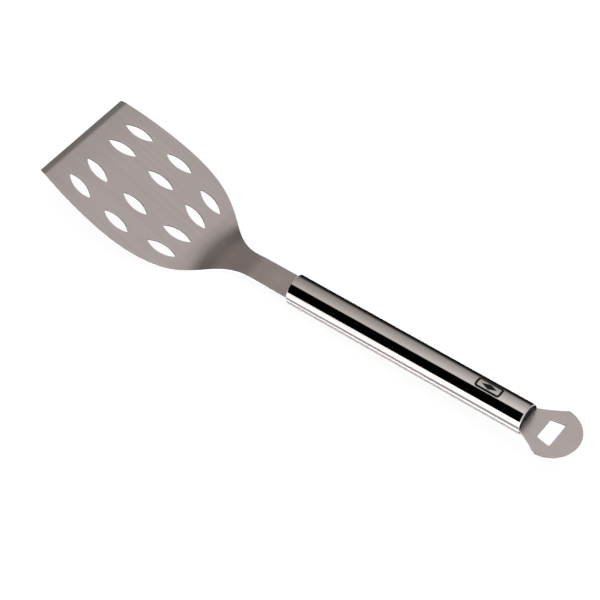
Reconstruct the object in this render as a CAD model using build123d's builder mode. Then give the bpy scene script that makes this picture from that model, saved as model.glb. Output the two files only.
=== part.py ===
from build123d import *
import os
from math import asin, atan2, cos, degrees, hypot, radians, sin

# Slotted grill spatula. One stamped steel head runs through a double bend into a round tube handle,
# and a flat hanging tab with a bottle-opener hole closes the other end.
# The row stands as the tool lies on a table: it touches down on the heel of the bend and on the
# lower front rim of the tube. +X runs from the front edge to the hanging tab, +Z is up.

# ---- driving dimensions (mm, degrees) ----
# head
sheet = 1.5               # thickness of the stamped sheet
front_width = 96.5        # straight front edge
head_width = 109.0        # widest place of the head
widest_at = 67.0          # from the front edge
head_flat = 126.0         # flat length, front edge to the start of the bend
corner_round = 1.2        # front corners in plan
grind_length = 4.3        # ground strip along the front edge
grind_lip = 0.5           # thickness left at the very edge
shoulder_run = 51.0       # from the start of the bend to where the neck is parallel
shoulder_ease = 78.0      # how long the side keeps its width before it turns in
neck_ease = 36.0          # how softly it joins the neck
# drain slots: three rows of four
slot_length = 26.8
slot_width = 8.5
slot_tip_round = 0.5
first_row = 30.8          # first row's centre from the front edge
last_row_inset = 14.0     # last row's centre from the start of the bend
outer_insets = (18.5, 15.9, 24.1)   # outer slot centres in from the widest place, row by row
inner_places = (15.2, 15.7, 11.4)   # inner slot centres from the middle, row by row
row_fans = (10.5, 3.0, -11.5)       # how far each row's slots turn away from the middle
# bends and neck
bend_radius = 50.0        # of the sheet's middle plane at the heel
ramp_angle = 30.0         # steepest slope, against the flat head
ramp_length = 26.6        # straight between the two bends
relief_radius = 60.0      # of the bend back to the handle's slope
handle_angle = 21.1       # handle's slope, against the flat head
neck_run = 34.6           # straight neck from the second bend to the tube's mouth
# handle tube
tube_diameter = 25.0
tube_wall = 0.8
tube_length = 211.5
rim_round = 0.6           # outer edge of both tube ends
neck_clearance = 0.15     # neck to bore, each side
# plugs moulded round the tangs
plug_recess = 0.6         # plug face behind the tube's end
front_plug_length = 26.0
rear_plug_length = 20.0
plug_clearance = 0.05     # plug to bore, radial
plug_lead = 1.0           # chamfer on each plug's inner end
tang_width = 16.0
tang_proud = 3.0          # tang's end past the plug's inner end
tang_round = 2.0
lock_hole = 6.0           # hole in each tang that the plug's plastic fills
# hanging tab
tab_sheet = 1.5
tab_reach = 42.6          # tube's end to the tab's far point
tab_foot_width = 24.4     # where it butts on the tube's end
tab_width = 47.4
tab_flank_hollow = 0.6    # how far each flank curves in from straight
tab_corner_at = 20.4      # tube's end to the corner between flank and round end
tab_corner_round = 1.5
opener_near = 13.4        # tube's end to the opener's near edge
opener_length = 11.9
opener_near_width = 18.6
opener_far_width = 23.2
opener_far_round = 1.5
opener_near_round = 0.5

# ---- derived sizes ----
tube_radius = tube_diameter / 2
bore_radius = tube_radius - tube_wall
plug_radius = bore_radius - plug_clearance
neck_width = 2 * (bore_radius - neck_clearance)
neck_starts = head_flat + shoulder_run
ramp = radians(ramp_angle)
grip = radians(handle_angle)

# Side view of the sheet's middle plane, (along, up) from the front edge with the head level.
bend_end = (head_flat + bend_radius * sin(ramp), bend_radius * (1 - cos(ramp)))
ramp_end = (bend_end[0] + ramp_length * cos(ramp), bend_end[1] + ramp_length * sin(ramp))
neck_foot = (ramp_end[0] + relief_radius * (sin(ramp) - sin(grip)),
             ramp_end[1] + relief_radius * (cos(grip) - cos(ramp)))


def along_grip(distance, lift=0.0):
    """Side-view point on the handle's line, measured from the second bend's end."""
    return (neck_foot[0] + distance * cos(grip) - lift * sin(grip),
            neck_foot[1] + distance * sin(grip) + lift * cos(grip))


# The heel's arc and the rounded lower rim of the tube both touch the table, which sets the tilt.
heel_centre = (head_flat, bend_radius)
heel_radius = bend_radius + sheet / 2
rim_centre = along_grip(neck_run + rim_round, rim_round - tube_radius)
reach = hypot(rim_centre[0] - heel_centre[0], rim_centre[1] - heel_centre[1])
direct = atan2(rim_centre[1] - heel_centre[1], rim_centre[0] - heel_centre[0])
rest_tilt = direct + asin((heel_radius - rim_round) / reach)
grip_slope = grip - rest_tilt

head_along = Vector(cos(rest_tilt), 0, -sin(rest_tilt))
head_up = Vector(sin(rest_tilt), 0, cos(rest_tilt))
grip_along = Vector(cos(grip_slope), 0, sin(grip_slope))
grip_up = Vector(-sin(grip_slope), 0, cos(grip_slope))


def tilted(point):
    """Side-view point turned to its resting tilt."""
    return head_along * point[0] + head_up * point[1]


heel_drop = tilted(heel_centre).Z - heel_radius
front_reach = tilted((0, -sheet / 2)).X
tab_end = along_grip(neck_run + tube_length + tab_reach, -tab_sheet / 2)
origin = Vector((front_reach + tilted(tab_end).X) / 2, 0, heel_drop)

head_side = Plane(origin=-origin, x_dir=head_along, z_dir=(0, -1, 0))
head_plan = Plane(origin=-origin, x_dir=head_along, z_dir=head_up)
mouth = tilted(along_grip(neck_run)) - origin
tail = mouth + grip_along * tube_length
mouth_plan = Plane(origin=mouth, x_dir=grip_along, z_dir=grip_up)
tail_plan = Plane(origin=tail, x_dir=grip_along, z_dir=grip_up)
mouth_section = Plane(origin=mouth, x_dir=(0, 1, 0), z_dir=grip_along)
tail_section = Plane(origin=tail, x_dir=(0, -1, 0), z_dir=-grip_along)

os.makedirs("parts", exist_ok=True)


def tang_profile(plan, start, plug_length, way):
    """Tang strip on a handle plan plane, from start to past the plug; way is +1 or -1 along the plane's x."""
    lock_place = plug_recess + plug_length / 2
    strip_end = plug_recess + plug_length + tang_proud
    with BuildSketch(plan) as strip:
        with Locations((way * (start + strip_end) / 2, 0)):
            Rectangle(strip_end - start, tang_width)
        inner_corners = strip.vertices().sort_by(Axis(plan.origin, plan.x_dir * way))[-2:]
        fillet(inner_corners, tang_round)
        with Locations((way * lock_place, 0)):
            Circle(lock_hole / 2, mode=Mode.SUBTRACT)
    return strip.sketch


def head_outline():
    """Head and neck seen square to the flat head, mirrored about the middle."""
    front = (0, front_width / 2)
    widest = (widest_at, head_width / 2)
    neck = (neck_starts, neck_width / 2)
    past_mouth = (along_grip(neck_run + tube_length)[0], neck_width / 2)
    with BuildSketch(head_plan) as outline:
        with BuildLine():
            Line((0, 0), front)
            TangentArc(widest, front, tangent=(-1, 0))
            Bezier(widest, (widest[0] + shoulder_ease, widest[1]), (neck[0] - neck_ease, neck[1]), neck)
            Line(neck, past_mouth)
            Line(past_mouth, (past_mouth[0], 0))
            Line((past_mouth[0], 0), (0, 0))
        make_face()
        mirror(about=Plane(origin=-origin, x_dir=head_along, z_dir=(0, 1, 0)))
        front_corners = outline.vertices().sort_by(Axis(-origin, head_along))[:2]
        fillet(front_corners, corner_round)
    return outline.sketch


def slot_profile():
    """All drain slots: pointed ovals, each made of two arcs that meet at the tips."""
    last_row = head_flat - last_row_inset
    rows = (first_row, (first_row + last_row) / 2, last_row)
    with BuildSketch(Plane.XY) as oval:
        with BuildLine():
            ThreePointArc((-slot_length / 2, 0), (0, slot_width / 2), (slot_length / 2, 0))
            ThreePointArc((slot_length / 2, 0), (0, -slot_width / 2), (-slot_length / 2, 0))
        make_face()
        fillet(oval.vertices(), slot_tip_round)
    with BuildSketch(head_plan) as slots:
        for row, inset, inner, fan in zip(rows, outer_insets, inner_places, row_fans):
            for place in (head_width / 2 - inset, inner):
                for side in (1, -1):
                    with Locations(Location((row, side * place), side * fan)):
                        add(oval.sketch)
    return slots.sketch


# ---- blade: head, double bend, neck and tang in one stamping ----
with BuildPart() as blade:
    with BuildSketch(head_side):
        with BuildLine():
            ends = []
            for half in (sheet / 2, -sheet / 2):
                flat = Line((0, half), (head_flat, half))
                heel = JernArc(flat @ 1, flat % 1, bend_radius - half, ramp_angle)
                rise = PolarLine(heel @ 1, ramp_length, ramp_angle)
                relief = JernArc(rise @ 1, rise % 1, relief_radius + half, handle_angle - ramp_angle)
                neck_line = PolarLine(relief @ 1, neck_run + plug_recess, handle_angle)
                ends.append((flat @ 0, neck_line @ 1))
            Line(ends[0][0], ends[1][0])
            Line(ends[0][1], ends[1][1])
        make_face()
    extrude(amount=head_width, both=True)
    extrude(head_outline(), amount=head_width + tube_length, both=True, mode=Mode.INTERSECT)
    with BuildSketch(head_side):
        with BuildLine():
            Polyline((0, grind_lip - sheet / 2), (grind_length, sheet / 2), (0, sheet / 2), close=True)
        make_face()
    extrude(amount=head_width, both=True, mode=Mode.SUBTRACT)
    extrude(slot_profile(), amount=sheet, both=True, mode=Mode.SUBTRACT)
    extrude(tang_profile(mouth_plan, plug_recess, front_plug_length, 1), amount=sheet / 2, both=True)

# ---- handle tube ----
with BuildPart() as handle_tube:
    with BuildSketch(mouth_section):
        Circle(tube_radius)
        Circle(bore_radius, mode=Mode.SUBTRACT)
    extrude(amount=tube_length)
    rims = handle_tube.edges().filter_by(GeomType.CIRCLE).group_by(SortBy.RADIUS)[-1]
    fillet(rims, rim_round)


def plug(section, plan, length, way, tang_sheet):
    """Round plug just inside one tube end, moulded round its tang and through the lock hole."""
    with BuildPart() as body:
        with BuildSketch(section.offset(plug_recess)):
            Circle(plug_radius)
        extrude(amount=length)
        circles = body.edges().filter_by(GeomType.CIRCLE)
        chamfer(circles.sort_by(Axis(section.origin, section.z_dir))[-1], plug_lead)
        tang = tang_profile(plan, plug_recess, length, way)
        extrude(tang, amount=tang_sheet / 2, both=True, mode=Mode.SUBTRACT)
    return body


# ---- hanging tab with its opener hole ----
with BuildPart() as opener_tab:
    with BuildSketch(tail_plan) as tab_outline:
        with BuildLine():
            foot = Vector(0, tab_foot_width / 2)
            corner = Vector(tab_corner_at, tab_width / 2)
            flank_way = (corner - foot).normalized()
            flank_middle = (foot + corner) / 2 + flank_way.rotate(Axis.Z, -90) * tab_flank_hollow
            low_foot, low_corner, low_middle = (Vector(p.X, -p.Y) for p in (foot, corner, flank_middle))
            Line(low_foot, foot)
            ThreePointArc(foot, flank_middle, corner)
            ThreePointArc(corner, (tab_reach, 0), low_corner)
            ThreePointArc(low_corner, low_middle, low_foot)
        make_face()
        fillet(tab_outline.vertices().sort_by(Axis(tail, grip_along))[-2:], tab_corner_round)
    extrude(amount=tab_sheet / 2, both=True)
    with BuildSketch(tail_plan) as opener:
        with BuildLine():
            near_half = opener_near_width / 2
            far_half = opener_far_width / 2
            opener_far = opener_near + opener_length
            near_corners = ((opener_near, -near_half), (opener_near, near_half))
            far_corners = ((opener_far, far_half), (opener_far, -far_half))
            Polyline(*near_corners, *far_corners, close=True)
        make_face()
        fillet(opener.vertices().sort_by(Axis(tail, grip_along))[-2:], opener_far_round)
        fillet(opener.vertices().sort_by(Axis(tail, grip_along))[:2], opener_near_round)
    extrude(amount=tab_sheet, both=True, mode=Mode.SUBTRACT)
    extrude(tang_profile(tail_plan, 0, rear_plug_length, -1), amount=tab_sheet / 2, both=True)

# ---- plugs ----
front_plug = plug(mouth_section, mouth_plan, front_plug_length, 1, sheet)
rear_plug = plug(tail_section, tail_plan, rear_plug_length, -1, tab_sheet)

pieces = {
    "blade": blade,
    "handle_tube": handle_tube,
    "front_plug": front_plug,
    "rear_plug": rear_plug,
    "opener_tab": opener_tab,
}
for name, piece in pieces.items():
    piece.part.label = name
    export_step(piece.part, f"parts/{name}.step")
print("rest tilt", degrees(rest_tilt), "grip slope", degrees(grip_slope), "origin", origin)
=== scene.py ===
import bpy
import bmesh
from math import asin, atan2, cos, pi, radians, sin, sqrt, tan
from mathutils import Matrix, Vector
from mathutils.geometry import interpolate_bezier


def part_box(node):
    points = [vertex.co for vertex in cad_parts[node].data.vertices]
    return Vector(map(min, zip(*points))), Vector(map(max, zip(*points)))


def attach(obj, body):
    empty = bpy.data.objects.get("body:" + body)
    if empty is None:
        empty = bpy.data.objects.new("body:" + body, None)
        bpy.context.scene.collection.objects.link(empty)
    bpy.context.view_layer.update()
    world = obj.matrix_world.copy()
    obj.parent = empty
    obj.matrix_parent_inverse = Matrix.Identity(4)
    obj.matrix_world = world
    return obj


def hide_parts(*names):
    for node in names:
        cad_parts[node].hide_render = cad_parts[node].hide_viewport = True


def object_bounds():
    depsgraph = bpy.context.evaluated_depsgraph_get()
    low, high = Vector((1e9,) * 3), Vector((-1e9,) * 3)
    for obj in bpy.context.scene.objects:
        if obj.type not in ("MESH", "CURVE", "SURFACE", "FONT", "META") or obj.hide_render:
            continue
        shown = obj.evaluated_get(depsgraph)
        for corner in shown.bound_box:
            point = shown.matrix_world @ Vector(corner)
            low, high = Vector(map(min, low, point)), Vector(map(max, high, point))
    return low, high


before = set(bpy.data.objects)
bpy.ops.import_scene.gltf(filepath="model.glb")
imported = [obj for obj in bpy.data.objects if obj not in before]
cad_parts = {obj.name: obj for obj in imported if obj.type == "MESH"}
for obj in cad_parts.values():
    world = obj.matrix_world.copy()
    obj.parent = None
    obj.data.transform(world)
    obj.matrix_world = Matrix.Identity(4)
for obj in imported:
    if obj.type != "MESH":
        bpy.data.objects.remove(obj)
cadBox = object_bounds()
print("frame loaded:", ", ".join(sorted(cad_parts)))

mm = 0.001
touching = 0.0001             # millimetres: corners this close count as one place
scene = bpy.context.scene

# Lengths are in millimetres and angles in degrees. Side views run from the front edge, head level.
stance = {
    "headTilt": 16.6157,      # the flat head slopes down towards the bend
    "gripSlope": 4.4843,      # the handle rises towards the tab
}

blade = {
    "sheet": 1.5,
    "frontWidth": 96.5,
    "headWidth": 109.0,
    "widestAt": 67.0,
    "headFlat": 126.0,
    "cornerRound": 1.2,
    "grindLength": 4.3,       # ground strip along the front edge
    "grindLip": 0.5,          # thickness left at the very edge
    "grindBlend": 0.3,        # half the width of the soft line where the slope stops
    "grindFade": (3.8, 6.8),  # the grinding marks thin out between these places
    "shoulderRun": 51.0,
    "shoulderEase": 78.0,
    "neckEase": 36.0,
    "bendRadius": 50.0,
    "rampAngle": 30.0,
    "rampLength": 26.6,
    "reliefRadius": 60.0,
    "handleAngle": 21.1,      # of the neck and tang, from the flat of the head
    "neckRun": 34.6,
    "neckWidth": 23.1,
    "edgeRound": 0.2,         # tumbled edge all round
    "bendStep": 2.0,          # degrees between the cuts across a bend
    "tangWidth": 16.0,
    "tangLength": 29.0,       # past the plug's face
    "tangRound": 2.0,
    "lockHole": 6.0,
    "lockPlace": 13.0,        # of the lock hole, past the plug's face
    "sideSteps": 16,
    "shoulderSteps": 40,
}

tube = {
    "diameter": 25.0,
    "wall": 0.8,
    "length": 211.5,
    "tailRim": (1.1, 0.66),   # how far along and how far inward the tail's rim is rolled
    "mouthRim": (0.62, 0.45),
    "boreEase": 0.04,         # tiny chamfer inside each end
    "rimWear": 3.0,           # how quickly a rim counts as rubbed
    "mouthWear": 0.1,         # share of that at the mouth, which is hardly touched
    "rimSteps": 8,
    "sides": 192,
}

# Where the bends of the blade start and stop, seen from the side.
ramp = radians(blade["rampAngle"])
grip = radians(blade["handleAngle"])
bendEnd = Vector((blade["headFlat"] + blade["bendRadius"] * sin(ramp),
                  blade["bendRadius"] * (1 - cos(ramp))))
rampEnd = bendEnd + blade["rampLength"] * Vector((cos(ramp), sin(ramp)))
neckFoot = rampEnd + blade["reliefRadius"] * Vector((sin(ramp) - sin(grip), cos(grip) - cos(ramp)))
mouthSide = neckFoot + blade["neckRun"] * Vector((cos(grip), sin(grip)))

# The blade's CAD box says where the front edge and the heel are.
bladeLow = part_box("blade")[0]
headTurn = Matrix.Rotation(radians(stance["headTilt"]), 4, "Y")
frontFoot = headTurn @ Vector((0, 0, -blade["sheet"] / 2))
heelCentre = headTurn @ Vector((blade["headFlat"], 0, blade["bendRadius"]))
heelDrop = heelCentre.z - blade["bendRadius"] - blade["sheet"] / 2
headShift = Vector((bladeLow.x / mm - frontFoot.x, 0, bladeLow.z / mm - heelDrop))
headPlace = Matrix.Scale(mm, 4) @ Matrix.Translation(headShift) @ headTurn

gripTurn = Matrix.Rotation(-radians(stance["gripSlope"]), 4, "Y")
gripAlong = gripTurn @ Vector((1, 0, 0))
gripUp = gripTurn @ Vector((0, 0, 1))
mouth = headPlace @ Vector((mouthSide.x, 0, mouthSide.y))
tail = mouth + gripAlong * tube["length"] * mm
mouthPlace = Matrix.Translation(mouth) @ Matrix.Scale(mm, 4) @ gripTurn
tailPlace = Matrix.Translation(tail) @ Matrix.Scale(mm, 4) @ gripTurn


# The centre of the circle through three points.
def circleThrough(first, middle, last):
    a, b = middle - first, last - first
    cross = 2 * (a.x * b.y - a.y * b.x)
    return first + Vector((b.y * a.length_squared - a.y * b.length_squared,
                           a.x * b.length_squared - b.x * a.length_squared)) / cross


# Points along the circle from one end to the other, the short way round.
def arcPoints(centre, first, last, steps):
    start = atan2(first.y - centre.y, first.x - centre.x)
    turn = atan2(last.y - centre.y, last.x - centre.x) - start
    turn = (turn + pi) % (2 * pi) - pi
    radius = (first - centre).length
    return [centre + radius * Vector((cos(start + turn * k / steps), sin(start + turn * k / steps)))
            for k in range(steps + 1)]


def arcThrough(first, middle, last, steps):
    centre = circleThrough(first, middle, last)
    half = max(1, steps // 2)
    return arcPoints(centre, first, middle, half)[:-1] + arcPoints(centre, middle, last, half)


# Joins stretches end to end into a closed loop and rounds the corner after each one.
def softenedLoop(stretches, radii, steps=6):
    slack = 0.05              # a point this close to a rounded corner is left out
    count = len(stretches)
    cuts, corners = [], []
    for i, radius in enumerate(radii):
        corner = stretches[i][-1]
        back = (stretches[i][-2] - corner).normalized()
        ahead = (stretches[(i + 1) % count][1] - corner).normalized()
        half = back.angle(ahead) / 2
        cut = radius / tan(half)
        centre = corner + (back + ahead).normalized() * radius / sin(half)
        cuts.append(cut)
        rounded = arcPoints(centre, corner + back * cut, corner + ahead * cut, steps)
        corners.append(rounded if radius else [corner])
    loop = []
    for i, stretch in enumerate(stretches):
        first, last = stretch[0], stretch[-1]
        loop += [p for p in stretch[1:-1] if (p - first).length > cuts[i - 1] + slack
                 and (p - last).length > cuts[i] + slack]
        loop += corners[i]
    return loop


def circleLoop(x, y, radius, steps=24):
    turns = [2 * pi * k / steps for k in range(steps)]
    return [Vector((x + radius * cos(turn), y + radius * sin(turn))) for turn in turns]


# The other half of an outline, from the last stretch back to the first.
def mirroredStretches(stretches):
    return [[Vector((p.x, -p.y)) for p in reversed(stretch)] for stretch in reversed(stretches)]


def headOutline():
    front = Vector((0, blade["frontWidth"] / 2))
    widest = Vector((blade["widestAt"], blade["headWidth"] / 2))
    rise = widest.y - front.y
    sideRadius = (widest.x ** 2 + rise ** 2) / (2 * rise)
    side = arcPoints(Vector((widest.x, widest.y - sideRadius)), front, widest, blade["sideSteps"])
    neck = Vector((blade["headFlat"] + blade["shoulderRun"], blade["neckWidth"] / 2))
    leave = widest + Vector((blade["shoulderEase"], 0))
    arrive = neck - Vector((blade["neckEase"], 0))
    shoulder = interpolate_bezier(*(p.to_3d() for p in (widest, leave, arrive, neck)), blade["shoulderSteps"])
    neckEnd = Vector((mouthSide.x + plugs["recess"] * cos(grip), neck.y))
    tangStart = Vector((neckEnd.x, blade["tangWidth"] / 2))
    tangEnd = tangStart + Vector((blade["tangLength"] * cos(grip), 0))
    upper = [side + [p.to_2d() for p in shoulder[1:]], [neck, neckEnd],
             [neckEnd, tangStart], [tangStart, tangEnd]]
    tip = [tangEnd, Vector((tangEnd.x, -tangEnd.y))]
    frontEdge = [Vector((0, -front.y)), front]
    rounds = [0, 0, 0, blade["tangRound"], blade["tangRound"],
              0, 0, 0, blade["cornerRound"], blade["cornerRound"]]
    return softenedLoop(upper + [tip] + mirroredStretches(upper) + [frontEdge], rounds)


slots = {
    "length": 26.8,
    "width": 8.5,
    "tipRound": 1.0,
    "firstRow": 30.8,         # behind the front edge
    "lastRowInset": 14.0,     # before the bend
    "outerInsets": (18.5, 15.9, 24.1),    # each row's outer slots, in from half the head's width
    "innerPlaces": (15.2, 15.7, 11.4),    # each row's inner slots, out from the middle
    "fans": (10.5, 3.0, -11.5),           # degrees that each row's slots are turned
    "arcSteps": 18,
}


# Pointed ovals in three rows of four, each made of two arcs that meet at the tips.
def slotLoops():
    end = Vector((slots["length"] / 2, 0))
    crown = Vector((0, slots["width"] / 2))
    over = arcThrough(-end, crown, end, slots["arcSteps"])
    under = arcThrough(end, -crown, -end, slots["arcSteps"])
    oval = softenedLoop([over, under], [slots["tipRound"]] * 2)
    lastRow = blade["headFlat"] - slots["lastRowInset"]
    rows = (slots["firstRow"], (slots["firstRow"] + lastRow) / 2, lastRow)
    loops = []
    for row, inset, inner, fan in zip(rows, slots["outerInsets"], slots["innerPlaces"], slots["fans"]):
        for place in (blade["headWidth"] / 2 - inset, inner):
            for side in (1, -1):
                turn = Matrix.Rotation(radians(side * fan), 2)
                loops.append([turn @ p + Vector((row, side * place)) for p in oval])
    return loops


tab = {
    "sheet": 1.5,
    "reach": 42.6,
    "footWidth": 24.4,
    "width": 47.4,
    "flankHollow": 0.6,
    "cornerAt": 20.4,
    "cornerRound": 1.5,
    "openerNear": 13.4,
    "openerLength": 11.9,
    "openerNearWidth": 18.6,
    "openerFarWidth": 23.2,
    "openerFarRound": 1.5,
    "openerNearRound": 0.5,
    "edgeRound": 0.25,
    "tangWidth": 16.0,
    "tangLength": 23.6,       # back from the tube's end
    "tangRound": 2.0,
    "lockHole": 6.0,
    "lockPlace": 10.6,        # back from the tube's end
    "flankSteps": 12,
    "endSteps": 48,
}


def tabOutline():
    foot = Vector((0, tab["footWidth"] / 2))
    corner = Vector((tab["cornerAt"], tab["width"] / 2))
    flankWay = (corner - foot).normalized()
    hollow = (foot + corner) / 2 + Vector((flankWay.y, -flankWay.x)) * tab["flankHollow"]
    lowCorner = Vector((corner.x, -corner.y))
    tangStart = Vector((0, tab["tangWidth"] / 2))
    tangEnd = Vector((-tab["tangLength"], tangStart.y))
    upper = [[tangEnd, tangStart], [tangStart, foot], arcThrough(foot, hollow, corner, tab["flankSteps"])]
    roundEnd = arcThrough(corner, Vector((tab["reach"], 0)), lowCorner, tab["endSteps"])
    tip = [Vector((tangEnd.x, -tangEnd.y)), tangEnd]
    rounds = [0, 0, tab["cornerRound"], tab["cornerRound"], 0, 0, tab["tangRound"], tab["tangRound"]]
    return softenedLoop(upper + [roundEnd] + mirroredStretches(upper) + [tip], rounds)


def openerLoop():
    near, far = tab["openerNear"], tab["openerNear"] + tab["openerLength"]
    nearHalf, farHalf = tab["openerNearWidth"] / 2, tab["openerFarWidth"] / 2
    ends = [Vector(p) for p in ((near, -nearHalf), (near, nearHalf), (far, farHalf), (far, -farHalf))]
    sides = [[a, (a + b) / 2, b] for a, b in zip(ends, ends[1:] + ends[:1])]
    return softenedLoop(sides, [tab["openerNearRound"], tab["openerFarRound"],
                                tab["openerFarRound"], tab["openerNearRound"]])


# Middle of the blade's sheet over a plan place: its height, and the slope there.
def bladeMiddle(x):
    if x <= blade["headFlat"]:
        return 0.0, 0.0
    if x <= bendEnd.x:
        slope = asin((x - blade["headFlat"]) / blade["bendRadius"])
        return blade["bendRadius"] * (1 - cos(slope)), slope
    if x <= rampEnd.x:
        return bendEnd.y + (x - bendEnd.x) * tan(ramp), ramp
    if x <= neckFoot.x:
        slope = asin(sin(ramp) - (x - rampEnd.x) / blade["reliefRadius"])
        return rampEnd.y + blade["reliefRadius"] * (cos(slope) - cos(ramp)), slope
    return neckFoot.y + (x - neckFoot.x) * tan(grip), grip


# Lower and upper face against the middle: the ground strip thins the front from above.
def bladeFaces(x):
    half = blade["sheet"] / 2
    share = min(1.0, x / blade["grindLength"])
    return -half, half - (1 - share) * (blade["sheet"] - blade["grindLip"])


# Where the flat sheet is cut across, so that it can bend and thin smoothly.
def bladeCuts():
    turns = []
    step = radians(blade["bendStep"])
    heelSteps = round(ramp / step)
    for k in range(heelSteps + 1):
        turns.append(blade["headFlat"] + blade["bendRadius"] * sin(ramp * k / heelSteps))
    reliefSteps = round((ramp - grip) / step)
    for k in range(reliefSteps + 1):
        slope = ramp + (grip - ramp) * k / reliefSteps
        turns.append(rampEnd.x + blade["reliefRadius"] * (sin(ramp) - sin(slope)))
    grind = blade["grindLength"]
    fadeFrom, fadeTo = blade["grindFade"]
    fade = [fadeFrom, (fadeFrom + fadeTo) / 2, fadeTo]
    return [grind - blade["grindBlend"], grind + blade["grindBlend"]] + fade + turns


def flatMiddle(x):
    return 0.0, 0.0


def tabFaces(x):
    return -tab["sheet"] / 2, tab["sheet"] / 2


# Extruding and spinning leave faces and edges in another order each time, so they get one order.
def putInOrder(mesh):
    mesh.verts.index_update()
    for parts in (mesh.edges, mesh.faces):
        ranked = sorted(parts, key=lambda part: sorted(v.index for v in part.verts))
        for rank, part in enumerate(ranked):
            part.index = rank
        parts.sort()


# Makes a finished mesh a piece that rides with the CAD frame.
def finishPiece(mesh, name, place, node, materials):
    mesh.transform(place)
    bmesh.ops.recalc_face_normals(mesh, faces=mesh.faces)
    for face in mesh.faces:
        face.smooth = True
    openEdges = sum(1 for edge in mesh.edges if not edge.is_manifold)
    putInOrder(mesh)
    data = bpy.data.meshes.new(name)
    mesh.to_mesh(data)
    mesh.free()
    piece = bpy.data.objects.new(name, data)
    scene.collection.objects.link(piece)
    for material in materials:
        data.materials.append(material)
    shading = piece.modifiers.new("evenShading", "WEIGHTED_NORMAL")
    shading.mode = "FACE_AREA"
    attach(piece, "root")
    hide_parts(node)
    print(name, "made:", len(data.polygons), "faces,", openEdges, "open edges")


# A stamped piece: the outline and its holes are filled flat, the rim is stepped in for its
# rounded edge, cuts make room for the bends, and the sheet gets its two faces. What the
# materials need later is kept on the corners.
def stampSheet(outline, holes, edgeRound, cuts, middle, faces, rimSteps=3, grindFade=None):
    mesh = bmesh.new()
    depth = mesh.verts.layers.float.new("depth")        # in from the outline
    rim = mesh.verts.layers.float.new("rim")            # 1 on the edge, 0 on the flat
    punched = mesh.verts.layers.float.new("punched")    # 1 round a hole
    ground = mesh.verts.layers.float.new("ground")      # 1 on the ground strip
    run = mesh.verts.layers.float.new("run")            # back from the front edge
    for kind, loop in enumerate([outline] + holes):
        ring = [mesh.verts.new((p.x, p.y, 0)) for p in loop]
        for a, b in zip(ring, ring[1:] + ring[:1]):
            mesh.edges.new((a, b))
            a[punched] = min(1.0, kind)
    bmesh.ops.triangle_fill(mesh, use_beauty=True, use_dissolve=False, edges=mesh.edges[:])
    bmesh.ops.recalc_face_normals(mesh, faces=mesh.faces)
    mesh.normal_update()
    if mesh.faces[:][0].normal.z < 0:
        bmesh.ops.reverse_faces(mesh, faces=mesh.faces)
    inner = mesh.faces[:]
    reached = 0.0
    for k in range(1, rimSteps + 1):
        wanted = edgeRound * (1 - cos(pi / 2 * k / rimSteps))
        bmesh.ops.inset_region(mesh, faces=inner, thickness=wanted - reached,
                               use_boundary=True, use_even_offset=True)
        reached = wanted
        for corner in {v for face in inner for v in face.verts}:
            corner[depth] = reached
    for x in cuts:
        everything = mesh.verts[:] + mesh.edges[:] + mesh.faces[:]
        bmesh.ops.bisect_plane(mesh, geom=everything, dist=touching, plane_co=(x, 0, 0), plane_no=(1, 0, 0))
    raised = bmesh.ops.extrude_face_region(mesh, geom=mesh.faces[:])["geom"]
    upper = {v for v in raised if isinstance(v, bmesh.types.BMVert)}
    for v in mesh.verts:
        plan = v.co.x
        height, slope = middle(plan)
        low, high = faces(plan)
        inFrom = min(v[depth], edgeRound)
        drop = edgeRound - sqrt(max(0.0, edgeRound ** 2 - (edgeRound - inFrom) ** 2))
        lift = high - drop if v in upper else low + drop
        v.co = (plan - lift * sin(slope), v.co.y, height + lift * cos(slope))
        v[rim] = 1 - inFrom / edgeRound
        v[run] = plan
        if grindFade and v in upper:
            v[ground] = min(1.0, max(0.0, (grindFade[1] - plan) / (grindFade[1] - grindFade[0])))
    return mesh


# Faces between the two rims of a punched hole get the second finish.
def markPunched(mesh):
    rim = mesh.verts.layers.float.get("rim")
    punched = mesh.verts.layers.float.get("punched")
    for face in mesh.faces:
        if all(v[rim] > 0.999 and v[punched] > 0.5 for v in face.verts):
            face.material_index = 1


def makeBlade(materials):
    lock = mouthSide.x + (plugs["recess"] + blade["lockPlace"]) * cos(grip)
    holes = slotLoops() + [circleLoop(lock, 0, blade["lockHole"] / 2)]
    mesh = stampSheet(headOutline(), holes, blade["edgeRound"], bladeCuts(), bladeMiddle, bladeFaces,
                      grindFade=blade["grindFade"])
    markPunched(mesh)
    finishPiece(mesh, "slottedBlade", headPlace, "blade", materials)


def makeTab(materials):
    holes = [openerLoop(), circleLoop(-tab["lockPlace"], 0, tab["lockHole"] / 2)]
    mesh = stampSheet(tabOutline(), holes, tab["edgeRound"], [], flatMiddle, tabFaces)
    markPunched(mesh)
    finishPiece(mesh, "openerTab", tailPlace, "opener_tab", materials)


# One wall section of the tube, spun about its axis. Both rims roll over from the outside.
def rolledRim(outer, reach, drop):
    turns = [pi / 2 * k / tube["rimSteps"] for k in range(tube["rimSteps"] + 1)]
    return [(reach * (1 - sin(turn)), outer - drop * (1 - cos(turn)), turn / (pi / 2)) for turn in turns]


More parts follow.
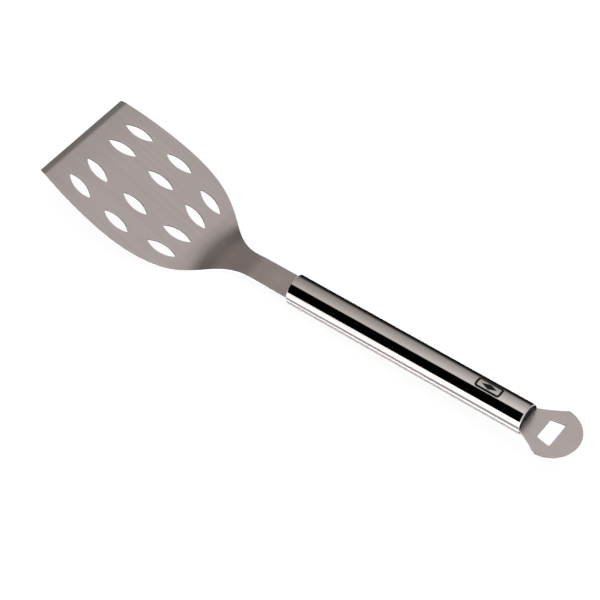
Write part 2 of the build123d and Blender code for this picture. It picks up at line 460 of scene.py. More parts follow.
def makeTube(materials):
    mesh = bmesh.new()
    rim = mesh.verts.layers.float.new("rim")
    length, ease = tube["length"], tube["boreEase"]
    outer, inner = tube["diameter"] / 2, tube["diameter"] / 2 - tube["wall"]
    section = [(length - x, r, share) for x, r, share in rolledRim(outer, *tube["tailRim"])]
    section += [(length, inner + ease, 1.0), (length - ease, inner, 1.0)]
    section += [(ease, inner, 1.0), (0, inner + ease, 1.0)]
    section += [(x, r, tube["mouthWear"] * share)
                for x, r, share in reversed(rolledRim(outer, *tube["mouthRim"]))]
    ring = []
    for x, r, share in section:
        corner = mesh.verts.new((x, 0, r))
        corner[rim] = min(1.0, tube["rimWear"] * share)
        ring.append(corner)
    walls = [mesh.edges.new((a, b)) for a, b in zip(ring, ring[1:] + ring[:1])]
    bmesh.ops.spin(mesh, geom=ring + walls, cent=(0, 0, 0), axis=(1, 0, 0), angle=2 * pi,
                   steps=tube["sides"], use_merge=True)
    finishPiece(mesh, "handleTube", mouthPlace, "handle_tube", materials)


plugs = {
    "recess": 0.6,            # plug face behind the tube's end
    "edgeRound": 0.3,
    "edgeSteps": 3,
    "flatAngle": 0.3,         # neighbouring CAD triangles turned less than this are joined
    "rimBand": 0.2,           # an edge this close to the bore belongs to the rim
}


# The plug is its CAD solid with the rim of its outer face softened.
def makePlug(name, node, place, way, materials):
    mesh = bmesh.new()
    mesh.from_mesh(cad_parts[node].data)
    bmesh.ops.remove_doubles(mesh, verts=mesh.verts, dist=0.000001)
    bmesh.ops.dissolve_limit(mesh, angle_limit=radians(plugs["flatAngle"]), verts=mesh.verts,
                             edges=mesh.edges)
    mesh.transform(place.inverted())
    face = way * plugs["recess"]
    rimFrom = tube["diameter"] / 2 - tube["wall"] - plugs["rimBand"]
    rimEdges = [edge for edge in mesh.edges
                if all(abs(v.co.x - face) < 0.01 and v.co.yz.length > rimFrom for v in edge.verts)]
    bmesh.ops.bevel(mesh, geom=rimEdges, offset=plugs["edgeRound"], affect="EDGES",
                    segments=plugs["edgeSteps"], profile=0.5, material=-1)
    finishPiece(mesh, name, place, node, materials)


# Short ways to add and join nodes.
def addNode(tree, kind, **settings):
    made = tree.nodes.new(kind)
    for key, value in settings.items():
        setattr(made, key, value)
    return made


# Sets a socket to a value, or joins another socket to it.
def feed(tree, socket, value):
    if isinstance(value, bpy.types.NodeSocket):
        tree.links.new(value, socket)
    else:
        socket.default_value = value


def calc(tree, operation, *values, clamp=False):
    made = addNode(tree, "ShaderNodeMath", operation=operation, use_clamp=clamp)
    for socket, value in zip(made.inputs, values):
        feed(tree, socket, value)
    return made.outputs[0]


def calcVector(tree, operation, *values, result="Vector"):
    made = addNode(tree, "ShaderNodeVectorMath", operation=operation)
    for socket, value in zip(made.inputs, values):
        feed(tree, socket, value)
    return made.outputs[result]


def blendColours(tree, share, first, second):
    made = addNode(tree, "ShaderNodeMix", data_type="RGBA")
    for socket, value in zip((made.inputs["Factor"], made.inputs[6], made.inputs[7]), (share, first, second)):
        feed(tree, socket, value)
    return made.outputs[2]


def softStep(tree, value, low, high):
    made = addNode(tree, "ShaderNodeMapRange", interpolation_type="SMOOTHSTEP")
    for key, wanted in (("Value", value), ("From Min", low), ("From Max", high)):
        feed(tree, made.inputs[key], wanted)
    return made.outputs["Result"]


# A grey or a colour for each place between low and high.
def gradeBy(tree, value, low, high, stops):
    share = addNode(tree, "ShaderNodeMapRange", clamp=True)
    for key, wanted in (("Value", value), ("From Min", low), ("From Max", high)):
        feed(tree, share.inputs[key], wanted)
    grade = addNode(tree, "ShaderNodeValToRGB")
    feed(tree, grade.inputs["Fac"], share.outputs["Result"])
    points = grade.color_ramp.elements
    points.remove(points[1])
    for k, (at, level) in enumerate(stops):
        point = points[0] if k == 0 else points.new(1.0)
        point.position = (at - low) / (high - low)
        point.color = colour(*level) if isinstance(level, tuple) else colour(level, level, level)
    return grade.outputs["Color"]


def noise(tree, vector, scale, detail=2.0, roughness=0.5):
    made = addNode(tree, "ShaderNodeTexNoise")
    for key, wanted in (("Vector", vector), ("Scale", scale), ("Detail", detail), ("Roughness", roughness)):
        feed(tree, made.inputs[key], wanted)
    return made.outputs["Fac"]


def stretchBy(tree, x, y, z):
    made = addNode(tree, "ShaderNodeCombineXYZ")
    for key, value in (("X", x), ("Y", y), ("Z", z)):
        feed(tree, made.inputs[key], value)
    return made.outputs[0]


# A node group that several materials use. An input given as None is a vector.
def newEffect(name, inputs, outputs):
    tree = bpy.data.node_groups.new(name, "ShaderNodeTree")
    for key, value in inputs.items():
        kind = "NodeSocketVector" if value is None else "NodeSocketFloat"
        socket = tree.interface.new_socket(name=key, in_out="INPUT", socket_type=kind)
        if value is not None:
            socket.default_value = value
    for key in outputs:
        tree.interface.new_socket(name=key, in_out="OUTPUT", socket_type="NodeSocketFloat")
    return tree, addNode(tree, "NodeGroupInput").outputs, addNode(tree, "NodeGroupOutput").inputs


def useEffect(tree, effect, **values):
    made = addNode(tree, "ShaderNodeGroup", node_tree=effect)
    for key, value in values.items():
        feed(tree, made.inputs[key], value)
    return made.outputs


# Lines drawn out one way by a belt or a polishing wheel, with slow changes in their strength.
def makeBrushedGrain():
    lineSwing, bandSwing = 1.6, 1.8       # how strongly the lines and the bands stand out
    bandStretch = (0.6, 0.11, 0.6)        # the bands are this much coarser than the lines
    tree, given, out = newEffect("brushedGrain", {"Vector": None, "Along": 12.0, "Across": 2500.0},
                                 ["Lines", "Bands"])
    stretch = stretchBy(tree, given["Along"], given["Across"], given["Along"])
    drawn = calcVector(tree, "MULTIPLY", given["Vector"], stretch)
    fine = noise(tree, drawn, 1.0, 3.0, 0.65)
    wide = noise(tree, calcVector(tree, "MULTIPLY", drawn, bandStretch), 1.0, 2.0)
    for key, pattern, swing in (("Lines", fine, lineSwing), ("Bands", wide, bandSwing)):
        offMiddle = calc(tree, "SUBTRACT", pattern, 0.5)
        feed(tree, out[key], calc(tree, "MULTIPLY_ADD", offMiddle, swing, 0.5, clamp=True))
    return tree


# Thin stray scratches that all run one way; a second use with another turn crosses them.
def makeScratches():
    alongPitch = 34.0                     # scratches per metre of their own run
    thickness = 0.022                     # share of the pattern that shows as a scratch
    sparse, dense, full = 0.78, 0.3, 0.85     # where patches start and end, and how density moves that
    tree, given, out = newEffect("scratches", {"Vector": None, "Turn": 0.4, "Density": 0.5, "Pitch": 700.0},
                                 ["Scratches"])
    turned = addNode(tree, "ShaderNodeVectorRotate", rotation_type="Z_AXIS")
    feed(tree, turned.inputs["Vector"], given["Vector"])
    feed(tree, turned.inputs["Angle"], given["Turn"])
    stretch = stretchBy(tree, alongPitch, given["Pitch"], alongPitch)
    drawn = calcVector(tree, "MULTIPLY", turned.outputs[0], stretch)
    ridge = calc(tree, "ABSOLUTE", calc(tree, "SUBTRACT", noise(tree, drawn, 1.0, 0.0), 0.5))
    thin = calc(tree, "SUBTRACT", 1.0, softStep(tree, ridge, 0.0, thickness))
    patch = noise(tree, turned.outputs[0], 60.0, 2.0)
    limit = calc(tree, "SUBTRACT", sparse, calc(tree, "MULTIPLY", given["Density"], dense))
    feed(tree, out["Scratches"], calc(tree, "MULTIPLY", thin, softStep(tree, patch, limit, full)))
    return tree


# Faint cloudy marks left by wiping and handling.
def makeHandling():
    finer, finerShare = 5.3, 0.3          # the small marks against the large ones
    faint, clear = 0.45, 0.9              # a mark starts to show and shows fully
    tree, given, out = newEffect("handling", {"Vector": None, "Size": 25.0}, ["Marks"])
    large = noise(tree, given["Vector"], given["Size"], 4.0, 0.6)
    small = noise(tree, given["Vector"], calc(tree, "MULTIPLY", given["Size"], finer), 3.0)
    cloud = calc(tree, "MULTIPLY_ADD", small, finerShare, large)
    feed(tree, out["Marks"], softStep(tree, cloud, faint, clear))
    return tree


# Where an edge has been rubbed bright: the rim attribute, broken up a little.
def makeEdgeWear():
    uneven, least = 1.1, 0.35             # how far the wear varies, and what is there anyway
    faint, bright = 0.1, 0.8              # wear starts to show and shows fully
    tree, given, out = newEffect("edgeWear", {"Vector": None, "Rim": 0.0, "Break": 220.0}, ["Wear"])
    broken = noise(tree, given["Vector"], given["Break"], 3.0, 0.6)
    kept = calc(tree, "MULTIPLY_ADD", broken, uneven, least)
    rubbed = calc(tree, "MULTIPLY", given["Rim"], kept, clamp=True)
    feed(tree, out["Wear"], softStep(tree, rubbed, faint, bright))
    return tree


brushedGrain = makeBrushedGrain()
scratches = makeScratches()
handling = makeHandling()
edgeWear = makeEdgeWear()


def newMaterial(name):
    material = bpy.data.materials.new(name)
    material.use_nodes = True
    tree = material.node_tree
    shader = tree.nodes["Principled BSDF"]
    place = addNode(tree, "ShaderNodeTexCoord").outputs["Object"]
    return material, tree, shader, place


def axisOf(tree, vector, axis):
    split = addNode(tree, "ShaderNodeSeparateXYZ")
    feed(tree, split.inputs["Vector"], vector)
    return split.outputs[axis]


def attributeOf(tree, name):
    return addNode(tree, "ShaderNodeAttribute", attribute_type="GEOMETRY", attribute_name=name).outputs["Fac"]


def colour(r, g, b):
    return (r, g, b, 1.0)


# Lines and bands of the grain together, as one tone.
def grainTone(tree, grain, bandShare):
    lines = calc(tree, "MULTIPLY", grain["Lines"], 1 - bandShare)
    return calc(tree, "MULTIPLY_ADD", grain["Bands"], bandShare, lines)


# Two runs of stray scratches that cross each other.
def crossedScratches(tree, place, look):
    runs = [useEffect(tree, scratches, Vector=place, Turn=turn, Density=density, Pitch=pitch)["Scratches"]
            for turn, density, pitch in look["scratchRuns"]]
    return calc(tree, "MAXIMUM", *runs)


# Raises the surface by a pattern; the distance is in metres.
def raiseSurface(tree, shader, pattern, strength, distance):
    bump = addNode(tree, "ShaderNodeBump")
    feed(tree, bump.inputs["Height"], pattern)
    bump.inputs["Strength"].default_value = strength
    bump.inputs["Distance"].default_value = distance
    feed(tree, shader.inputs["Normal"], bump.outputs["Normal"])


brushedSteelLook = {
    "dark": colour(0.775, 0.69, 0.675),
    "light": colour(0.93, 0.825, 0.805),
    "bright": colour(0.93, 0.90, 0.88),
    "bandShare": 0.5,         # of the tone; the lines have the rest
    "roughness": 0.30,
    "metal": 0.99,            # the rest scatters light, as a satin face does
    "grainSwing": 0.07,       # how far the lines move the roughness
    "handlingSwing": 0.05,
    "wearPolish": 0.08,       # how much smoother a rubbed edge is
    "along": 14.0,            # lines per metre lengthways, so each is a few centimetres long
    "across": 3000.0,
    "grainDepth": 0.10,
    "grainHeight": 0.00002,
    "scratchRuns": [(0.5, 0.5, 700.0), (-0.9, 0.5, 900.0)],       # turn, density and pitch of each
    "scratchShare": 0.35,     # how bright a scratch is
    "handlingSize": 24.0,
}

# The ground strip along the front edge is coarser and darker. Behind it, painted shade darkens
# the sheet a little towards the front edge and in arcs round the bend.
groundAndShadeLook = {
    "dark": colour(0.33, 0.30, 0.285),
    "light": colour(0.45, 0.415, 0.395),
    "along": 160.0,
    "across": 2200.0,
    "wearLost": 0.75,         # grinding takes this much of the rubbed edge away
    "frontShadeReach": 46.0,        # painted shade darkens the steel behind the edge as far back as this
    # share of black that this painted shade mixes in at the front edge
    "frontShadeShare": 0.11,
    "heelCentre": 200.0,      # the painted shade's arcs run round this place on the neck
    "heelShadeReach": 100.0,
    # painted shade at each distance in millimetres from that place
    "heelPaintedShade": [(0, 0.03), (15, 0.16), (26, 0.0), (44, 0.0), (48, 0.08), (53, 0.36), (58, 0.50),
                 (63, 0.33), (68, 0.10), (75, 0.0)],
}

tabLook = dict(brushedSteelLook, dark=colour(0.87, 0.775, 0.76), light=colour(0.97, 0.87, 0.85),
               roughness=0.36, metal=0.955, along=18.0, handlingSize=30.0,
               scratchRuns=[(0.5, 0.7, 700.0), (-0.9, 0.7, 900.0)])


# Painted shade: the sheet darkened behind the front edge and in arcs round the bend, as one darkening.
def bladePaintedShade(tree, place, ground):
    fromFront = calc(tree, "SUBTRACT", axisOf(tree, place, "X"), cadBox[0][0])
    frontShaded = softStep(tree, fromFront, ground["frontShadeReach"] * mm, 0.0)
    behind = calc(tree, "SUBTRACT", ground["heelCentre"], attributeOf(tree, "run"))
    aside = calc(tree, "DIVIDE", axisOf(tree, place, "Y"), mm)
    squares = calc(tree, "MULTIPLY_ADD", behind, behind, calc(tree, "MULTIPLY", aside, aside))
    heelShade = gradeBy(tree, calc(tree, "SQRT", squares), 0.0, ground["heelShadeReach"], ground["heelPaintedShade"])
    return calc(tree, "MULTIPLY_ADD", frontShaded, ground["frontShadeShare"], heelShade)


def brushedSteel(name, look, ground=None):
    material, tree, shader, place = newMaterial(name)
    grain = useEffect(tree, brushedGrain, Vector=place, Along=look["along"], Across=look["across"])
    scratched = crossedScratches(tree, place, look)
    marks = useEffect(tree, handling, Vector=place, Size=look["handlingSize"])["Marks"]
    wear = useEffect(tree, edgeWear, Vector=place, Rim=attributeOf(tree, "rim"))["Wear"]
    base = blendColours(tree, grainTone(tree, grain, look["bandShare"]), look["dark"], look["light"])
    lines = grain["Lines"]
    if ground:
        # painted shade darkens the steel behind the front edge and round the bend
        base = blendColours(tree, bladePaintedShade(tree, place, ground), base, colour(0, 0, 0))
        coarse = useEffect(tree, brushedGrain, Vector=place, Along=ground["along"], Across=ground["across"])
        stoned = softStep(tree, attributeOf(tree, "ground"), 0.0, 1.0)
        stone = blendColours(tree, coarse["Lines"], ground["dark"], ground["light"])
        base = blendColours(tree, stoned, base, stone)
        lines = calc(tree, "MULTIPLY_ADD", calc(tree, "SUBTRACT", coarse["Lines"], lines), stoned, lines)
        lost = calc(tree, "MULTIPLY", stoned, ground["wearLost"])
        wear = calc(tree, "MULTIPLY", wear, calc(tree, "SUBTRACT", 1.0, lost))
    base = blendColours(tree, calc(tree, "MULTIPLY", scratched, look["scratchShare"]), base, look["bright"])
    feed(tree, shader.inputs["Base Color"], blendColours(tree, wear, base, look["bright"]))
    lined = calc(tree, "MULTIPLY_ADD", calc(tree, "SUBTRACT", lines, 0.5), look["grainSwing"],
                 look["roughness"])
    handled = calc(tree, "MULTIPLY_ADD", marks, look["handlingSwing"], lined)
    feed(tree, shader.inputs["Roughness"], calc(tree, "MULTIPLY_ADD", wear, -look["wearPolish"], handled))
    shader.inputs["Metallic"].default_value = look["metal"]
    raiseSurface(tree, shader, calc(tree, "SUBTRACT", lines, scratched), look["grainDepth"],
                 look["grainHeight"])
    return material


punchedWallShadeLook = {
    # the walls' near-black tone is painted shade inside the holes
    "dark": colour(0.045, 0.043, 0.041),
    "light": colour(0.17, 0.16, 0.155),
    "roughness": 0.5,
    "roughSwing": 0.2,
    "pitch": 2600.0,          # shear lines per metre round the hole
    "through": 90.0,          # and through the sheet
    "cloudSize": 400.0,
    "cloudSwing": 0.6,
    "leastTone": 0.5,
    "lineDepth": 0.3,
    "lineHeight": 0.00003,
}


# The torn walls of a punched hole: short lines run through the sheet, on a near-black tone that is painted
# shade inside the hole.
def punchedSteel(name, look):
    material, tree, shader, place = newMaterial(name)
    drawn = calcVector(tree, "MULTIPLY", place, (look["pitch"], look["pitch"], look["through"]))
    lines = noise(tree, drawn, 1.0, 2.0, 0.6)
    cloudy = useEffect(tree, handling, Vector=place, Size=look["cloudSize"])["Marks"]
    clouded = calc(tree, "MULTIPLY_ADD", cloudy, look["cloudSwing"], look["leastTone"])
    tone = calc(tree, "MULTIPLY", lines, clouded, clamp=True)
    feed(tree, shader.inputs["Base Color"], blendColours(tree, tone, look["dark"], look["light"]))
    feed(tree, shader.inputs["Roughness"],
         calc(tree, "MULTIPLY_ADD", lines, look["roughSwing"], look["roughness"]))
    shader.inputs["Metallic"].default_value = 1.0
    raiseSurface(tree, shader, lines, look["lineDepth"], look["lineHeight"])
    return material


tubeLook = {
    "dark": colour(0.85, 0.79, 0.77),
    "light": colour(0.94, 0.88, 0.86),
    "bright": colour(0.96, 0.955, 0.95),
    "bandShare": 0.7,
    "roughness": 0.055,
    "handlingSize": 38.0,
    "handlingSwing": 0.03,
    "along": 9.0,
    "across": 2200.0,
    "scratchRuns": [(0.12, 0.35, 1100.0), (1.2, 0.2, 1300.0)],    # turn, density and pitch of each
    "scratchSwing": 0.12,     # how much rougher a scratch is
    "grainShare": 0.35,       # how deep the lines are against a scratch
    "reliefDepth": 0.025,
    "reliefHeight": 0.00001,
    "print": colour(0.006, 0.006, 0.006),
    "printRoughness": 0.42,
    "printHeight": 1.5,       # how far the ink stands up against a scratch
    "inkShine": 0.1,
    "markFromTail": 34.0,     # middle of the printed badge, back from the tail end
    "markLength": 22.0,
    "markWidth": 9.4,
    "markLine": 1.9,
}


# A plain printed badge on top of the tube: a rounded frame round a small lozenge.
def makeBadge():
    cornerShare = 0.28                    # of the badge's width
    lozengeShares = (0.31, 0.27)          # of the badge's length and width, from its middle
    blur = 0.05                           # millimetres on each side of the line's edge
    lozengeBlur = 0.02
    tree, given, out = newEffect("printedBadge", {"Along": 0.0, "Round": 0.0, "Length": 21.0, "Width": 8.6,
                                                  "Line": 1.0}, ["Ink"])
    corner = calc(tree, "MULTIPLY", given["Width"], cornerShare)
    ways = (("Along", "Length"), ("Round", "Width"))
    sides = []
    for where, size in ways:
        half = calc(tree, "SUBTRACT", calc(tree, "MULTIPLY", given[size], 0.5), corner)
        sides.append(calc(tree, "SUBTRACT", calc(tree, "ABSOLUTE", given[where]), half))
    outside = [calc(tree, "MAXIMUM", side, 0.0) for side in sides]
    reach = calc(tree, "SQRT", calc(tree, "MULTIPLY_ADD", outside[0], outside[0],
                                    calc(tree, "MULTIPLY", outside[1], outside[1])))
    inside = calc(tree, "MINIMUM", calc(tree, "MAXIMUM", sides[0], sides[1]), 0.0)
    edge = calc(tree, "SUBTRACT", calc(tree, "ADD", reach, inside), corner)
    halfLine = calc(tree, "MULTIPLY", given["Line"], 0.5)
    fromLine = calc(tree, "ABSOLUTE", calc(tree, "ADD", edge, halfLine))
    pastLine = softStep(tree, calc(tree, "SUBTRACT", fromLine, halfLine), -blur, blur)
    frameInk = calc(tree, "SUBTRACT", 1.0, pastLine)
    fromMiddle = [calc(tree, "DIVIDE", calc(tree, "ABSOLUTE", given[where]),
                       calc(tree, "MULTIPLY", given[size], share))
                  for (where, size), share in zip(ways, lozengeShares)]
    pastLozenge = softStep(tree, calc(tree, "ADD", *fromMiddle), 1 - lozengeBlur, 1 + lozengeBlur)
    feed(tree, out["Ink"], calc(tree, "MAXIMUM", frameInk, calc(tree, "SUBTRACT", 1.0, pastLozenge)))
    return tree


printedBadge = makeBadge()


def polishedTube(name, look):
    material, tree, shader, place = newMaterial(name)
    grain = useEffect(tree, brushedGrain, Vector=place, Along=look["along"], Across=look["across"])
    scratched = crossedScratches(tree, place, look)
    marks = useEffect(tree, handling, Vector=place, Size=look["handlingSize"])["Marks"]
    wear = useEffect(tree, edgeWear, Vector=place, Rim=attributeOf(tree, "rim"))["Wear"]
    base = blendColours(tree, grainTone(tree, grain, look["bandShare"]), look["dark"], look["light"])
    base = blendColours(tree, wear, base, look["bright"])
    # the badge lies along the handle's top line
    badgeAt = tail - gripAlong * look["markFromTail"] * mm
    fromBadge = calcVector(tree, "SCALE", calcVector(tree, "SUBTRACT", place, badgeAt))
    fromBadge.node.inputs["Scale"].default_value = 1 / mm
    along = calcVector(tree, "DOT_PRODUCT", fromBadge, gripAlong, result="Value")
    up = calcVector(tree, "DOT_PRODUCT", fromBadge, gripUp, result="Value")
    side = calcVector(tree, "DOT_PRODUCT", fromBadge, (0, 1, 0), result="Value")
    roundWay = calc(tree, "MULTIPLY", calc(tree, "ARCTAN2", side, up), tube["diameter"] / 2)
    ink = useEffect(tree, printedBadge, Along=along, Round=roundWay, Length=look["markLength"],
                    Width=look["markWidth"], Line=look["markLine"])["Ink"]
    feed(tree, shader.inputs["Base Color"], blendColours(tree, ink, base, look["print"]))
    feed(tree, shader.inputs["Metallic"], calc(tree, "SUBTRACT", 1.0, ink))
    shader.inputs["Specular IOR Level"].default_value = look["inkShine"]
    polished = calc(tree, "MULTIPLY_ADD", marks, look["handlingSwing"], look["roughness"])
    polished = calc(tree, "MULTIPLY_ADD", scratched, look["scratchSwing"], polished)
    dull = calc(tree, "MULTIPLY", ink, look["printRoughness"] - look["roughness"])
    feed(tree, shader.inputs["Roughness"], calc(tree, "ADD", polished, dull))
    relief = calc(tree, "SUBTRACT", calc(tree, "MULTIPLY", grain["Lines"], look["grainShare"]), scratched)
    relief = calc(tree, "MULTIPLY_ADD", ink, look["printHeight"], relief)
    raiseSurface(tree, shader, relief, look["reliefDepth"], look["reliefHeight"])
    return material


plasticLook = {
    "dark": colour(0.006, 0.006, 0.007),
    "light": colour(0.015, 0.015, 0.016),
    "dust": colour(0.07, 0.068, 0.066),
    "dustShare": 0.15,
    "roughness": 0.42,
    "shine": 0.03,
    "texture": 2600.0,        # spark-eroded mould texture, grains per metre
    "textureSwing": 0.16,     # how far it moves the roughness
    "textureDepth": 0.25,
    "textureHeight": 0.00004,
    "flow": (60.0, 320.0, 120.0),         # streaks where the plastic ran, per metre each way
    "flowShare": 0.8,         # how deep they are against the texture
    "handlingSize": 160.0,
    "handlingSwing": 0.12,
}


def plugPlastic(name, look):
    material, tree, shader, place = newMaterial(name)
    grainy = noise(tree, place, look["texture"], 2.0, 0.6)
    flow = noise(tree, calcVector(tree, "MULTIPLY", place, look["flow"]), 1.0, 3.0)
    marks = useEffect(tree, handling, Vector=place, Size=look["handlingSize"])["Marks"]
    base = blendColours(tree, flow, look["dark"], look["light"])
    dusty = calc(tree, "MULTIPLY", marks, look["dustShare"])
    feed(tree, shader.inputs["Base Color"], blendColours(tree, dusty, base, look["dust"]))
    rough = calc(tree, "MULTIPLY_ADD", grainy, look["textureSwing"],
                 look["roughness"] - look["textureSwing"] / 2)
    feed(tree, shader.inputs["Roughness"], calc(tree, "MULTIPLY_ADD", marks, look["handlingSwing"], rough))
    shader.inputs["Specular IOR Level"].default_value = look["shine"]
    raiseSurface(tree, shader, calc(tree, "MULTIPLY_ADD", flow, look["flowShare"], grainy),
                 look["textureDepth"], look["textureHeight"])
    return material


bladeSteel = brushedSteel("brushedBlade", brushedSteelLook, groundAndShadeLook)
tabSteel = brushedSteel("brushedTab", tabLook)
shadedTornSteel = punchedSteel("shadedPunchedWalls", punchedWallShadeLook)
mirrorSteel = polishedTube("polishedTube", tubeLook)
blackPlastic = plugPlastic("plugPlastic", plasticLook)
finishes = (bladeSteel, tabSteel, shadedTornSteel, mirrorSteel, blackPlastic)
print("materials made:", ", ".join(finish.name for finish in finishes))

makeBlade([bladeSteel, shadedTornSteel])
makeTab([tabSteel, shadedTornSteel])
makeTube([mirrorSteel])
makePlug("mouthPlug", "front_plug", mouthPlace, 1, [blackPlastic])
makePlug("tailPlug", "rear_plug", tailPlace, -1, [blackPlastic])


# The floor, the light and the camera. Lengths here are in metres.
studio = {
    "floorSize": 12.0,
    "floorTone": colour(0.86, 0.86, 0.86),
    "floorFleck": colour(0.9, 0.9, 0.9),
    "floorGrain": 900.0,
    "floorRoughness": 0.9,
    "floorShine": 0.1,
    "floorGlow": 1.02,
    "floorEvenness": 0.92,    # share of the floor that looks evenly lit to the camera
    "overheadPower": 38.0,
    "overheadSize": 1.6,
    "overheadPlace": (0.1, 0.2, 1.6),
    "cameraPlace": (0.49136, -0.71982, 1.14449),
    "cameraTurn": (37.5568, -1.8174, 37.4170),
    "lens": 112.1,
    "sensor": 36.0,
    "nearestSeen": 0.01,
}

# Light that comes from each direction round the handle: 0 is level across the table from the
# camera's side, 90 is above the handle, 180 is level on the camera's side.
aroundHandle = [
    (-180, 1.5), (-3, 1.3), (-2, 0.02), (12, 0.03), (20, 0.13), (31, 0.28), (41, 0.35), (58, 0.40),
    (70, 0.45), (85, 0.53), (99, 0.60), (105, 0.62), (170, 0.62), (172, 1.5), (180, 1.5),
]
# The same light dims and warms towards the blade's end of the room.
alongHandle = [
    (-1.0, (0.75, 0.71, 0.68)), (-0.88, (0.50, 0.46, 0.43)), (-0.72, (0.40, 0.37, 0.345)),
    (-0.56, (0.48, 0.447, 0.413)), (-0.44, (0.79, 0.745, 0.69)), (-0.36, (0.92, 0.885, 0.85)),
    (-0.28, (1.17, 1.15, 1.13)), (-0.23, (1.20, 1.185, 1.17)), (-0.12, (0.88, 0.87, 0.86)),
    (0.0, (0.88, 0.87, 0.86)), (0.12, (1.12, 1.11, 1.10)), (0.35, (1.10, 1.09, 1.08)),
    (0.6, (0.78, 0.77, 0.765)), (1.0, (0.68, 0.67, 0.665)),
]
# A black flag over the camera's side gives the handle its dark line.
flag = {
    "around": [(-180, 0.0), (104.0, 0.0), (106.0, 1.0), (170, 1.0), (173, 0.0), (180, 0.0)],
    "reach": (-0.66, -0.60, -0.16, -0.10),    # where it starts and stops along the handle
    "lean": 30.0,             # degrees that it and the light turn over the whole of that way
    "leanMiddle": 0.36,
    "leanLimit": 3.0,
}


def makeStudioLight():
    world = bpy.data.worlds.new("studioLight")
    scene.world = world
    world.use_nodes = True
    tree = world.node_tree
    way = addNode(tree, "ShaderNodeTexCoord").outputs["Generated"]
    across = calcVector(tree, "DOT_PRODUCT", way, (0, 1, 0), result="Value")
    up = calcVector(tree, "DOT_PRODUCT", way, gripUp, result="Value")
    along = calcVector(tree, "DOT_PRODUCT", way, gripAlong, result="Value")
    lean = calc(tree, "MULTIPLY", calc(tree, "ADD", along, flag["leanMiddle"]), flag["lean"])
    lean = calc(tree, "MINIMUM", calc(tree, "MAXIMUM", lean, -flag["leanLimit"]), flag["leanLimit"])
    turn = calc(tree, "ADD", calc(tree, "DEGREES", calc(tree, "ARCTAN2", up, across)), lean)
    light = gradeBy(tree, turn, -180, 180, aroundHandle)
    dark = gradeBy(tree, turn, -180, 180, flag["around"])
    near = softStep(tree, along, flag["reach"][0], flag["reach"][1])
    far = softStep(tree, along, flag["reach"][2], flag["reach"][3])
    dark = calc(tree, "MULTIPLY", dark, calc(tree, "SUBTRACT", near, far))
    glow = tree.nodes["Background"]
    feed(tree, glow.inputs["Color"], gradeBy(tree, along, -1, 1, alongHandle))
    feed(tree, glow.inputs["Strength"], calc(tree, "MULTIPLY", light, calc(tree, "SUBTRACT", 1.0, dark)))


def stageObject(name, mesh, material):
    data = bpy.data.meshes.new(name)
    mesh.to_mesh(data)
    mesh.free()
    thing = bpy.data.objects.new(name, data)
    scene.collection.objects.link(thing)
    data.materials.append(material)
    return thing


def mixShaders(tree, share, first, second):
    made = addNode(tree, "ShaderNodeMixShader")
    for socket, value in zip(made.inputs, (share, first, second)):
        feed(tree, socket, value)
    return made.outputs[0]


# The camera sees the floor nearly evenly lit; what the steel mirrors is its true shaded tone.
def makeFloor():
    mesh = bmesh.new()
    bmesh.ops.create_grid(mesh, x_segments=8, y_segments=8, size=studio["floorSize"] / 2)
    material, tree, shader, place = newMaterial("paleFloor")
    paper = noise(tree, place, studio["floorGrain"], 3.0)
    feed(tree, shader.inputs["Base Color"],
         blendColours(tree, paper, studio["floorTone"], studio["floorFleck"]))
    shader.inputs["Roughness"].default_value = studio["floorRoughness"]
    shader.inputs["Specular IOR Level"].default_value = studio["floorShine"]
    glow = addNode(tree, "ShaderNodeEmission")
    glow.inputs["Strength"].default_value = studio["floorGlow"]
    direct = addNode(tree, "ShaderNodeLightPath").outputs["Is Camera Ray"]
    even = calc(tree, "MULTIPLY", direct, studio["floorEvenness"])
    lit = mixShaders(tree, even, shader.outputs[0], glow.outputs[0])
    # from below the floor is clear, so the underside can be looked at
    clear = addNode(tree, "ShaderNodeBsdfTransparent").outputs[0]
    below = addNode(tree, "ShaderNodeNewGeometry").outputs["Backfacing"]
    feed(tree, tree.nodes["Material Output"].inputs["Surface"], mixShaders(tree, below, lit, clear))
    stageObject("paleFloor", mesh, material)
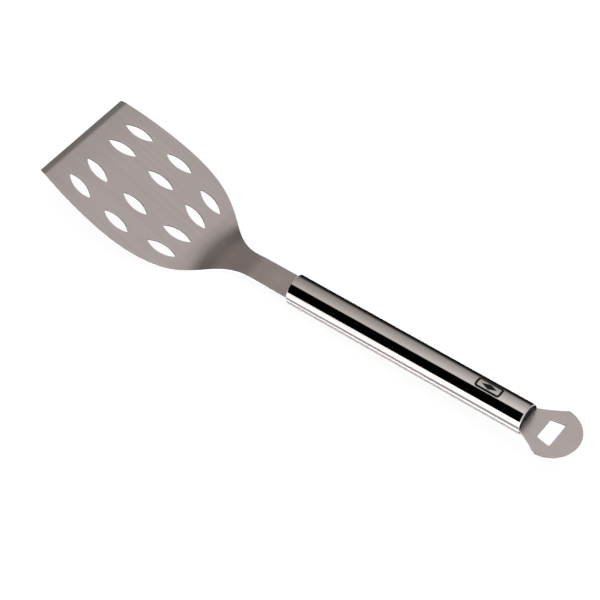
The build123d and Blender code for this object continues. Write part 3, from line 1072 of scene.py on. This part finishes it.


# Cards beside the handle that only show in its polish. Side, height and ends are in millimetres
# from its axis and its mouth.
# The grey near and under cards are painted reflection: they stand in for the shaded floor beside and under
# the handle. The far card is a black flag.
cards = {
    "farCard": {"from": (45.0, -11.2), "to": (45.0, 19.0), "tone": 0.01, "ends": (-38.0, 228.0)},
    "nearCard": {"from": (-20.0, -9.3), "to": (-23.8, -4.4), "tone": 0.38, "ends": (-25.0, 225.0),
                 "lift": (-1.0, 2.4)},
    "underCard": {"from": (-12.7, -8.9), "to": (-15.0, -8.2), "tone": 0.44, "ends": (-25.0, 225.0)},
}
cardEvenness = 0.94           # a card's darkest flecks against its tone
cardGrain = 40.0


def makeCard(name, card):
    mesh = bmesh.new()
    corners = []
    ends = list(zip(card["ends"], card.get("lift", (0.0, 0.0))))
    for (side, height), order in ((card["from"], 1), (card["to"], -1)):
        for end, lift in ends[::order]:
            corners.append(mesh.verts.new(mouthPlace @ Vector((end, side, height + lift))))
    mesh.faces.new(corners)
    material, tree, shader, place = newMaterial(name)
    tree.nodes.remove(shader)
    full = card["tone"]
    dim = full * cardEvenness
    paper = noise(tree, place, cardGrain)
    flecks = blendColours(tree, paper, colour(dim, dim, dim), colour(full, full, full))
    glow = addNode(tree, "ShaderNodeEmission")
    feed(tree, glow.inputs["Color"], flecks)
    feed(tree, tree.nodes["Material Output"].inputs["Surface"], glow.outputs[0])
    thing = stageObject(name, mesh, material)
    thing.visible_camera = False
    thing.visible_diffuse = False
    thing.visible_shadow = False


def makeOverhead():
    light = bpy.data.lights.new("overhead", "AREA")
    light.size = studio["overheadSize"]
    light.energy = studio["overheadPower"]
    lamp = bpy.data.objects.new("overhead", light)
    lamp.location = studio["overheadPlace"]
    lamp.visible_glossy = False
    lamp.visible_camera = False
    scene.collection.objects.link(lamp)


def makeCamera():
    lens = bpy.data.cameras.new("camera")
    lens.lens = studio["lens"]
    lens.sensor_width = studio["sensor"]
    lens.clip_start = studio["nearestSeen"]
    camera = bpy.data.objects.new("camera", lens)
    camera.location = studio["cameraPlace"]
    camera.rotation_euler = [radians(a) for a in studio["cameraTurn"]]
    scene.collection.objects.link(camera)
    scene.camera = camera


makeStudioLight()
makeFloor()
for name, card in cards.items():
    makeCard(name, card)
makeOverhead()
makeCamera()
scene.view_settings.view_transform = "Standard"
print("studio made")
